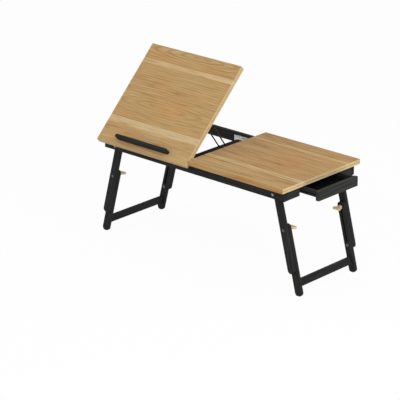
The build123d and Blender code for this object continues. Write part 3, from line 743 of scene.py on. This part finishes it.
zinc = metal("zinc_plate", (0.600, 0.625, 0.585, 1.0), (0.380, 0.400, 0.370, 1.0), 0.38)
dark_steel = metal("dark_steel", (0.130, 0.130, 0.125, 1.0), (0.070, 0.070, 0.070, 1.0), 0.45)
brass = metal("brassed_head", (0.350, 0.305, 0.235, 1.0), (0.190, 0.150, 0.105, 1.0), 0.42)
print("metals:", zinc.name, dark_steel.name, brass.name)

# %% [markdown]
# The wire props are coated with baked black enamel. It covers the steel, so it isn't a metal to
# the shader: it is a dark, fairly glossy skin, and a fine noise gives it the slight orange peel
# that such a coat has.

# %% Black enamel
ENAMEL_DEEP = (0.006, 0.006, 0.007, 1.0)
ENAMEL_DUSTY = (0.014, 0.014, 0.015, 1.0)
ENAMEL_GLOSS, ENAMEL_SPECULAR = (0.34, 0.48), 0.20
ENAMEL_RELIEF = {"distance": 0.04 * MM, "strength": 0.4}

enamel, tree, shader = new_material("black_enamel")
peel = add_node(tree, "ShaderNodeTexNoise", {"Scale": 900.0, "Detail": 2.0})
tree.links.new(placed(tree), peel.inputs["Vector"])
tone = ranged(tree, peel.outputs["Fac"], 0.35, 0.75)
tree.links.new(mixed(tree, tone, ENAMEL_DEEP, ENAMEL_DUSTY), shader.inputs["Base Color"])
roughness = ranged(tree, tone, 0.0, 1.0, *ENAMEL_GLOSS)
tree.links.new(roughness, shader.inputs["Roughness"])
shader.inputs["Specular IOR Level"].default_value = ENAMEL_SPECULAR
bumped(tree, shader, peel.outputs["Fac"], **ENAMEL_RELIEF)
print("enamel:", enamel.name)

# %% [markdown]
# ## Dressing the nodes
# First every node of the frame gets the finish of its slot, with the grain turned to run along
# the piece. Only a name can tell a rail from a leg, so the black pieces are sorted by name. Later
# cells replace the pieces that deserve a closer look, and they ask for the same finishes.

# %% A finish for every node
# The drawer's inside and the cross boards take the stain with painted shade
PAINTED_DARKER = ("drawer_back", "drawer_bottom", "rack_board")
# The drawer front and end rails take the stain with painted light
PAINTED_LIGHTER = ("drawer_front", "end_rail")
ACROSS = ("rack_strips", "cross_bar", "leg_stops")
SLOT_FINISH = {"pale_knob": pale_knob, "brass": brass, "zinc_steel": zinc, "black_wire": enamel}


def finish_of(node):
    """The material that suits a node."""
    slot = slot_of_node[node]
    if slot == "oiled_wood":
        return wood_tilted if node == "tilt_panel" else wood_flat
    if slot != "black_wood":
        return SLOT_FINISH[slot]
    # painted shade for the drawer's inside and the cross boards
    if node.startswith(PAINTED_DARKER):
        return black_painted_shade
    # painted light for the drawer front and end rails
    if node.startswith(PAINTED_LIGHTER):
        return black_painted_light
    if "_leg_" in node:
        return black_leg["left" if "_left" in node else "right"]
    return black_y if node.startswith(ACROSS) else black_x


def put_on(obj, material):
    """Give an object one material in place of all it has."""
    obj.data.materials.clear()
    obj.data.materials.append(material)


for node, obj in nodes.items():
    put_on(obj, finish_of(node))
print("finished", len(nodes), "nodes")

# %% [markdown]
# ## Pieces with a shape of their own
# The rest of the scene models what catches the eye. A piece that already has its outline in the
# construction starts as a merged copy of that solid, so that it fits its neighbours. It is then
# worked on in edit mode and with modifiers, as a joiner would ease the edges of a sawn part.

# %% Copying and easing
MERGED_WITHIN = 0.004 * MM
FLAT_WITHIN = radians(0.4)
SHARP_DEGREES = 32


def only(obj):
    """Select one object and make it active."""
    bpy.ops.object.select_all(action="DESELECT")
    obj.select_set(True)
    bpy.context.view_layer.objects.active = obj


def apply_modifier(obj, kind, **settings):
    """Add a modifier with its settings and apply it."""
    only(obj)
    modifier = obj.modifiers.new("step", kind)
    for name, value in settings.items():
        setattr(modifier, name, value)
    bpy.ops.object.modifier_apply(modifier=modifier.name)


def copy_of(node, name):
    """A node's solid as a new object: merged, with its flat faces whole again."""
    piece = bpy.data.objects.new(name, nodes[node].data.copy())
    scene.collection.objects.link(piece)
    only(piece)
    bpy.ops.mesh.customdata_custom_splitnormals_clear()
    bpy.ops.object.mode_set(mode="EDIT")
    bpy.ops.mesh.select_all(action="SELECT")
    bpy.ops.mesh.remove_doubles(threshold=MERGED_WITHIN)
    bpy.ops.mesh.dissolve_limited(angle_limit=FLAT_WITHIN)
    bpy.ops.object.mode_set(mode="OBJECT")
    return piece


def eased(piece, width, segments=2, angle=SHARP_DEGREES):
    """Round the sharp edges of a piece a little, and shade it smooth across them."""
    apply_modifier(
        piece, "BEVEL", width=width, segments=segments, limit_method="ANGLE",
        angle_limit=radians(angle), use_clamp_overlap=True,
    )
    only(piece)
    bpy.ops.object.shade_smooth_by_angle(angle=radians(angle))


def settle(piece, body, slot, material, *replaced):
    """Give a finished piece its material and the body it moves with, and hide the nodes it stands for."""
    put_on(piece, material)
    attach(piece, body)
    if replaced:
        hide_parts(*replaced)


print("piece helpers: only, apply_modifier, copy_of, eased, settle")

# %% [markdown]
# Every black piece of wood, the knobs, the latch parts, the hinge leaves and the wire props are
# eased in one loop. A perfectly sharp edge catches no light, and a piece with such edges looks cut
# out of paper. Half a millimetre on wood, and a fifth on the knobs and on thin metal, is enough to
# draw a fine light line along each edge.

# %% Eased pieces
EASED_WOOD = 0.5 * MM
EASED_STRIP = 0.25 * MM
EASED_SMALL = 0.18 * MM
THIN_WOOD = ("rack_strips", "drawer_bottom", "drawer_runner", "rack_board")
SPECIAL = ("fixed_panel", "tilt_panel", "leg_bolts", "knob_bolts", "guide_screws", "leg_nuts")

eased_count = 0
for node in sorted(nodes):
    if node.startswith(SPECIAL):
        continue
    slot = slot_of_node[node]
    if slot == "black_wood":
        width = EASED_STRIP if node.startswith(THIN_WOOD) else EASED_WOOD
    else:
        width = EASED_SMALL
    piece = copy_of(node, f"{node}_eased")
    eased(piece, width)
    settle(piece, body_of_node[node], slot, finish_of(node), node)
    eased_count += 1
print("eased", eased_count, "pieces")

# %% [markdown]
# ### The two tops
# A glued top shows its boards: each joint is a hair line where the sanded edges meet. A dark line
# in the material would be flat, so the closed board is cut at each joint with bisect, and the new
# loop of vertices is drawn in along its normals, which leaves a shallow V all round. Ends show
# the ends of the fibres, so their faces take the second material. The tilted top is worked on
# lying flat, and tilted back at the end.

# %% Tops
JOINT_HALF = 0.35 * MM
JOINT_DEPTH = 0.22 * MM
NEAR = 0.01 * MM
END_FACING = 0.75
TOP_DEGREES = 25


def worktop(node, name, body, matrix, face, ends):
    """A glued top from its node; the matrix takes it from where it lies flat to its place."""
    piece = copy_of(node, name)
    piece.data.transform(matrix.inverted())
    joints = [edge - depth / 2 for edge in BOARD_EDGES[1:]]
    only(piece)
    bpy.ops.object.mode_set(mode="EDIT")
    bpy.ops.mesh.select_mode(type="VERT")
    for joint in joints:
        for step in (-JOINT_HALF, 0.0, JOINT_HALF):
            bpy.ops.mesh.select_all(action="SELECT")
            bpy.ops.mesh.bisect(plane_co=(0, joint + step, 0), plane_no=(0, 1, 0))
    bpy.ops.mesh.select_all(action="DESELECT")
    shape = bmesh.from_edit_mesh(piece.data)
    for vertex in shape.verts:
        if min(abs(vertex.co.y - joint) for joint in joints) < NEAR:
            vertex.select = True
    shape.select_flush(True)
    bmesh.update_edit_mesh(piece.data)
    bpy.ops.transform.shrink_fatten(value=-JOINT_DEPTH)
    bpy.ops.object.mode_set(mode="OBJECT")
    only(piece)
    bpy.ops.object.shade_smooth_by_angle(angle=radians(TOP_DEGREES))
    settle(piece, body, "oiled_wood", face, node)
    piece.data.materials.append(ends)
    for polygon in piece.data.polygons:
        polygon.material_index = 1 if abs(polygon.normal.x) > END_FACING else 0
    piece.data.transform(matrix)
    return piece


fixed_top = worktop(
    "fixed_panel", "worktop_right", "right_half", Matrix.Identity(4), wood_flat, wood_flat_end
)
tilting_top = worktop(
    "tilt_panel", "worktop_left", "tilt_top", tilted, wood_tilted, wood_tilted_end
)
print("tops:", len(fixed_top.data.polygons), "and", len(tilting_top.data.polygons), "faces")

# %% [markdown]
# ### Bolts and screws
# A small head tells a lot about how a thing is held together. The leg pivots have domed bolts
# with a hexagon socket, the knob bolts and the guide screws have a cross. A recess could be a
# dark spot in the material, but a cut one catches the light as the real one does. A cutter is
# modelled once, copied to each place, and taken out of the head with a Boolean modifier.

# %% Cutters
CUTTER_HEIGHT = 1.2
BAR_WIDTH = 0.42
BAR_TAPER = 0.55


def hexagon_cutter():
    """A six-sided bar, one unit from its middle to a corner."""
    bpy.ops.object.select_all(action="DESELECT")
    bpy.ops.mesh.primitive_cylinder_add(vertices=6, radius=1.0, depth=CUTTER_HEIGHT)
    return bpy.context.object


def tapered_bar(turn):
    """A bar from end to end of a circle of one unit, narrower and shorter at its foot."""
    bpy.ops.object.select_all(action="DESELECT")
    bpy.ops.mesh.primitive_cube_add(size=1.0)
    bar = bpy.context.object
    shape = Matrix.Diagonal((2.0, BAR_WIDTH, CUTTER_HEIGHT, 1.0))
    bar.data.transform(Matrix.Rotation(turn, 4, "Z") @ shape)
    for vertex in bar.data.vertices:
        if vertex.co.z < 0:
            vertex.co.x *= BAR_TAPER
            vertex.co.y *= BAR_TAPER
    return bar


def cross_cutter():
    """Two tapered bars crossed and joined."""
    first, second = tapered_bar(0.0), tapered_bar(pi / 2)
    apply_modifier(second, "BOOLEAN", operation="UNION", object=first, solver="EXACT")
    bpy.data.objects.remove(first)
    return second


hexagon = hexagon_cutter()
cross = cross_cutter()
print("cutters:", len(hexagon.data.polygons), "and", len(cross.data.polygons), "faces")

# %% [markdown]
# A cutter stands on Z, and a head faces any way, so one matrix turns the cutter to the head,
# sizes it and puts it there. The head's middle is read from its node's box. The heads of the
# pivot and knob bolts are at the ends of that box, and those of the guide screws face inwards,
# as far from the middle of the desk as the nearest point of their node.

# %% Cutting heads
def oriented(place, facing, size=1.0):
    """The matrix that takes a thing standing on Z to a place, facing a way, at a size."""
    turn = Vector((0, 0, 1)).rotation_difference(Vector(facing)).to_matrix().to_4x4()
    return Matrix.Translation(place) @ turn @ Matrix.Scale(size, 4)


def placed_copy(master, name, matrix):
    """A copy of a master with its own mesh, moved by a matrix."""
    piece = bpy.data.objects.new(name, master.data.copy())
    piece.data.transform(matrix)
    scene.collection.objects.link(piece)
    return piece


def cut_heads(piece, cutter, places, size):
    """Take a cutter out of a piece at each place; places are points with the way out of it."""
    for place, facing in places:
        tool = placed_copy(cutter, "tool", oriented(place, facing, size))
        apply_modifier(piece, "BOOLEAN", operation="DIFFERENCE", object=tool, solver="EXACT")
        bpy.data.objects.remove(tool)


def outward_heads(node):
    """The middles of a node's two heads, at the front and rear ends of its box."""
    low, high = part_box(node)
    x, z = (low.x + high.x) / 2, (low.z + high.z) / 2
    return [(Vector((x, low.y, z)), (0, -1, 0)), (Vector((x, high.y, z)), (0, 1, 0))]


def inward_heads(node):
    """The middles of a node's two heads that face the middle of the desk."""
    low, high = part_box(node)
    x, z = (low.x + high.x) / 2, (low.z + high.z) / 2
    reach = min(abs(vertex.co.y) for vertex in nodes[node].data.vertices)
    return [(Vector((x, facing * reach, z)), (0, -facing, 0)) for facing in (-1, 1)]


guide_heads = [round(place.y, 4) for place, facing in inward_heads("guide_screws_left")]
print("the guide screws' heads are at y", guide_heads)

# %% [markdown]
# The domes, shanks and nuts are in the construction, so each piece starts as a copy of its node.
# The recess is cut first and eased with the rest, because a pressed recess has soft rims too.

# %% Bolts, guide screws and nuts
SOCKET_RADIUS = 2.7 * MM
CROSS_RADIUS = 2.6 * MM
DOMED = {"segments": 3, "angle": 25}


def fastener(node, name, body, finish, width, recess=None, **easing):
    """A bolt, screw or nut from its node, with a recess in each head, and its edges eased."""
    piece = copy_of(node, name)
    if recess:
        cut_heads(piece, *recess)
    eased(piece, width, **easing)
    settle(piece, body, slot_of_node[node], finish, node)


for side in ("left", "right"):
    half, legs, lower_legs = f"{side}_half", f"upper_legs_{side}", f"lower_legs_{side}"
    node = f"leg_bolts_{side}"
    recess = (hexagon, outward_heads(node), SOCKET_RADIUS)
    fastener(node, f"pivot_bolts_{side}", half, brass, 0.25 * MM, recess, **DOMED)
    node = f"leg_nuts_{side}"
    fastener(node, f"pivot_nuts_{side}", half, zinc, 0.5 * MM, segments=3)
    node = f"knob_bolts_{side}"
    recess = (cross, outward_heads(node), CROSS_RADIUS)
    fastener(node, f"clamp_bolts_{side}", legs, dark_steel, 0.15 * MM, recess)
    node = f"guide_screws_{side}"
    recess = (cross, inward_heads(node), CROSS_RADIUS)
    fastener(node, f"{node}_cut", lower_legs, dark_steel, 0.2 * MM, recess, **DOMED)
print("bolts, nuts and guide screws for both sides")

# %% [markdown]
# ### Wood screws
# Wood screws hold the leaves, plates, boards, runners, hinges and ledge. Their heads are sunk
# nearly level with what they hold, so only a disc with a cross shows, and there is no need to
# model a thread that nobody sees. One head is modelled, one unit in radius, and each copy gets
# its place, its way out and its size.

# %% One screw head
HEAD_DEPTH = 0.9
HEAD_PROUD = 0.05
HEAD_CROSS = 0.62
HEAD_EDGE = 0.07

bpy.ops.object.select_all(action="DESELECT")
bpy.ops.mesh.primitive_cylinder_add(vertices=28, radius=1.0, depth=HEAD_DEPTH)
screw_master = bpy.context.object
screw_master.data.transform(Matrix.Translation((0, 0, HEAD_PROUD - HEAD_DEPTH / 2)))
cut_heads(screw_master, cross, [(Vector((0, 0, HEAD_PROUD)), (0, 0, 1))], HEAD_CROSS)
eased(screw_master, HEAD_EDGE)
print("screw head:", len(screw_master.data.polygons), "faces")

# %% [markdown]
# The hardware of the desk is the same at the front and at the rear, so most screws are placed in
# mirrored pairs. Their places along the desk are counted from the fold line, as a joiner would
# mark them out.

# %% Placing screws
DOWN, UP, INWARDS = (0, 0, -1), (0, 0, 1), (0, -1, 0)
SIDES = {"left": -1, "right": 1}

rail_low, rail_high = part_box("front_rail_right")
rail_out, rail_in = -rail_low.y, -rail_high.y


def wood_screw(name, body, place, facing, radius):
    """One sunk screw head, level with the face at its place."""
    screw = placed_copy(screw_master, name, oriented(place, facing, radius))
    settle(screw, body, "zinc_steel", zinc)


def mirrored(name, body, places, facing, radius):
    """Screws at the front and, mirrored across the middle, at the rear."""
    for number, (x, y, z) in enumerate(places, 1):
        for row, sign in (("front", -1), ("rear", 1)):
            way = (facing[0], facing[1] * sign, facing[2])
            wood_screw(f"{name}_{row}_{number}", body, Vector((x, y * sign, z)), way, radius)


def along(side, distance):
    """X of a place at a distance from the fold line, on the left or right half."""
    return seam_x + SIDES[side] * distance


print("rails lie between", round(rail_in, 4), "and", round(rail_out, 4), "m from the middle")

# %% [markdown]
# Each fold leaf is let into the bottom of its rail and held by two screws from below. The latch
# plates and their keepers are screwed to the inner faces of the rails, one screw above the other.

# %% Screws of the fold leaves, latch plates and keepers
LEAF_SCREWS = (20 * MM, 35 * MM)
LEAF_INSET, LEAF_RADIUS = 0.3 * MM, 1.7 * MM
PLATE_SCREWS, KEEPER_SCREWS = 88 * MM, 23 * MM
PLATE_STEP, PLATE_FACE, PLATE_RADIUS = 6 * MM, 0.7 * MM, 2.0 * MM

rail_middle = (rail_out + rail_in) / 2
leaf_face = rail_low.z + LEAF_INSET
for side in SIDES:
    places = [(along(side, distance), rail_middle, leaf_face) for distance in LEAF_SCREWS]
    mirrored(f"leaf_screw_{side}", f"{side}_half", places, DOWN, LEAF_RADIUS)

plate_low, plate_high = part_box("latch_plates")
plate_middle = (plate_low.z + plate_high.z) / 2
for name, side, distance in (("plate", "left", PLATE_SCREWS), ("keeper", "right", KEEPER_SCREWS)):
    places = [
        (along(side, distance), rail_in - PLATE_FACE, plate_middle + step)
        for step in (-PLATE_STEP, PLATE_STEP)
    ]
    mirrored(f"{name}_screw", f"{side}_half", places, INWARDS, PLATE_RADIUS)
print("leaves' screws face down at z", round(leaf_face, 4))

# %% [markdown]
# The cross boards lie in housings of the rails and are screwed down into them. The drawer's
# runners are screwed up from below, near their ends and in the middle.

# %% Screws of the cross boards and drawer runners
BOARD_SCREWS = {"seam": (14 * MM,), "end": (300 * MM, 324 * MM)}
BOARD_INSET, BOARD_RADIUS = 8 * MM, 2.4 * MM
RUNNER_SHARES = (0.08, 0.5, 0.92)
RUNNER_INSET, RUNNER_RADIUS = 3 * MM, 2.2 * MM

for board, distances in BOARD_SCREWS.items():
    board_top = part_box(f"rack_board_{board}")[1].z
    places = [(along("left", d), rail_in - BOARD_INSET, board_top) for d in distances]
    mirrored(f"{board}_board_screw", "left_half", places, UP, BOARD_RADIUS)

runner_low, runner_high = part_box("drawer_runner_rear")
runner_span = runner_high.x - runner_low.x
places = [
    (runner_low.x + runner_span * share, runner_high.y - RUNNER_INSET, runner_low.z)
    for share in RUNNER_SHARES
]
mirrored("runner_screw", "right_half", places, DOWN, RUNNER_RADIUS)
print("runners are", round(runner_span, 4), "m long")

# %% [markdown]
# The underside of the tilting top is in its own coordinates again, so that its screws tilt with
# it. The ledge is held by two screws from below. The top rests on the front rail there when it
# is let down, and a head level with the wood would rub, so the screws stand in holes.

# %% Screws of the ledge
LEDGE_MIDDLE, LEDGE_STEP = 182 * MM, 32 * MM
LEDGE_REACH = 23.5 * MM
LEDGE_RADIUS, LEDGE_HOLE = 3.0 * MM, 3.4 * MM
LEDGE_SUNK = 0.5 * MM

board_down = tilted.to_3x3() @ Vector(DOWN)


def board_place(place_x, place_y, depth_in=0.0):
    """A place in the tilting top's underside, from the fold line and the front edge."""
    return tilted @ (board_origin + Vector((-place_x, place_y, depth_in)))


def board_screw(name, place_x, place_y, radius, depth_in=0.0):
    """A screw in the tilting top's underside."""
    wood_screw(name, "tilt_top", board_place(place_x, place_y, depth_in), board_down, radius)


bpy.ops.object.select_all(action="DESELECT")
bpy.ops.mesh.primitive_cylinder_add(vertices=32, radius=1.0, depth=0.5)
hole_cutter = bpy.context.object
for number, step in enumerate((-LEDGE_STEP, LEDGE_STEP), 1):
    place_x = LEDGE_MIDDLE + step
    hole = board_place(place_x, LEDGE_REACH)
    cut_heads(tilting_top, hole_cutter, [(hole, board_down)], LEDGE_HOLE)
    board_screw(f"ledge_screw_{number}", place_x, LEDGE_REACH, LEDGE_RADIUS, LEDGE_SUNK)
print("tilting top with its holes:", len(tilting_top.data.polygons), "faces")

# %% [markdown]
# Two small hinges join the tilting top to the front rail. Their upper leaves are screwed to the
# top and their lower leaves to the rail, each with two screws, which are named by their distance
# in millimetres from the fold line. One more screw holds the saddle of each wire prop.

# %% Screws of the hinges and saddles
HINGES_MM, HINGE_STEP_MM = (105, 245), 13
HINGE_INSET, LOWER_LEAF_DROP = 7 * MM, 0.4 * MM
HINGE_RADIUS = 2.0 * MM
SADDLES = {"seam": 27.5 * MM, "end": 312.5 * MM}
SADDLE_REACH, SADDLE_SUNK, SADDLE_RADIUS = 142 * MM, 0.3 * MM, 1.8 * MM

hinge_reach = hinge.y + depth / 2
lower_leaf_y, lower_leaf_z = -rail_out + HINGE_INSET, under - LOWER_LEAF_DROP
for middle in HINGES_MM:
    for distance in (middle - HINGE_STEP_MM, middle + HINGE_STEP_MM):
        place_x = distance * MM
        board_screw(
            f"upper_leaf_screw_{distance}", place_x, hinge_reach + HINGE_INSET, HINGE_RADIUS
        )
        place = Vector((along("left", place_x), lower_leaf_y, lower_leaf_z))
        wood_screw(f"lower_leaf_screw_{distance}", "left_half", place, UP, HINGE_RADIUS)
for name, place_x in SADDLES.items():
    place_y = hinge_reach + SADDLE_REACH
    board_screw(f"saddle_screw_{name}", place_x, place_y, SADDLE_RADIUS, SADDLE_SUNK)

# %% [markdown]
# The cutters and the first screw head were only tools, so they are taken away. Dressing must not
# make the desk larger than its construction.

# %% Clear the tools away
for master in (hexagon, cross, screw_master, hole_cutter):
    bpy.data.objects.remove(master)
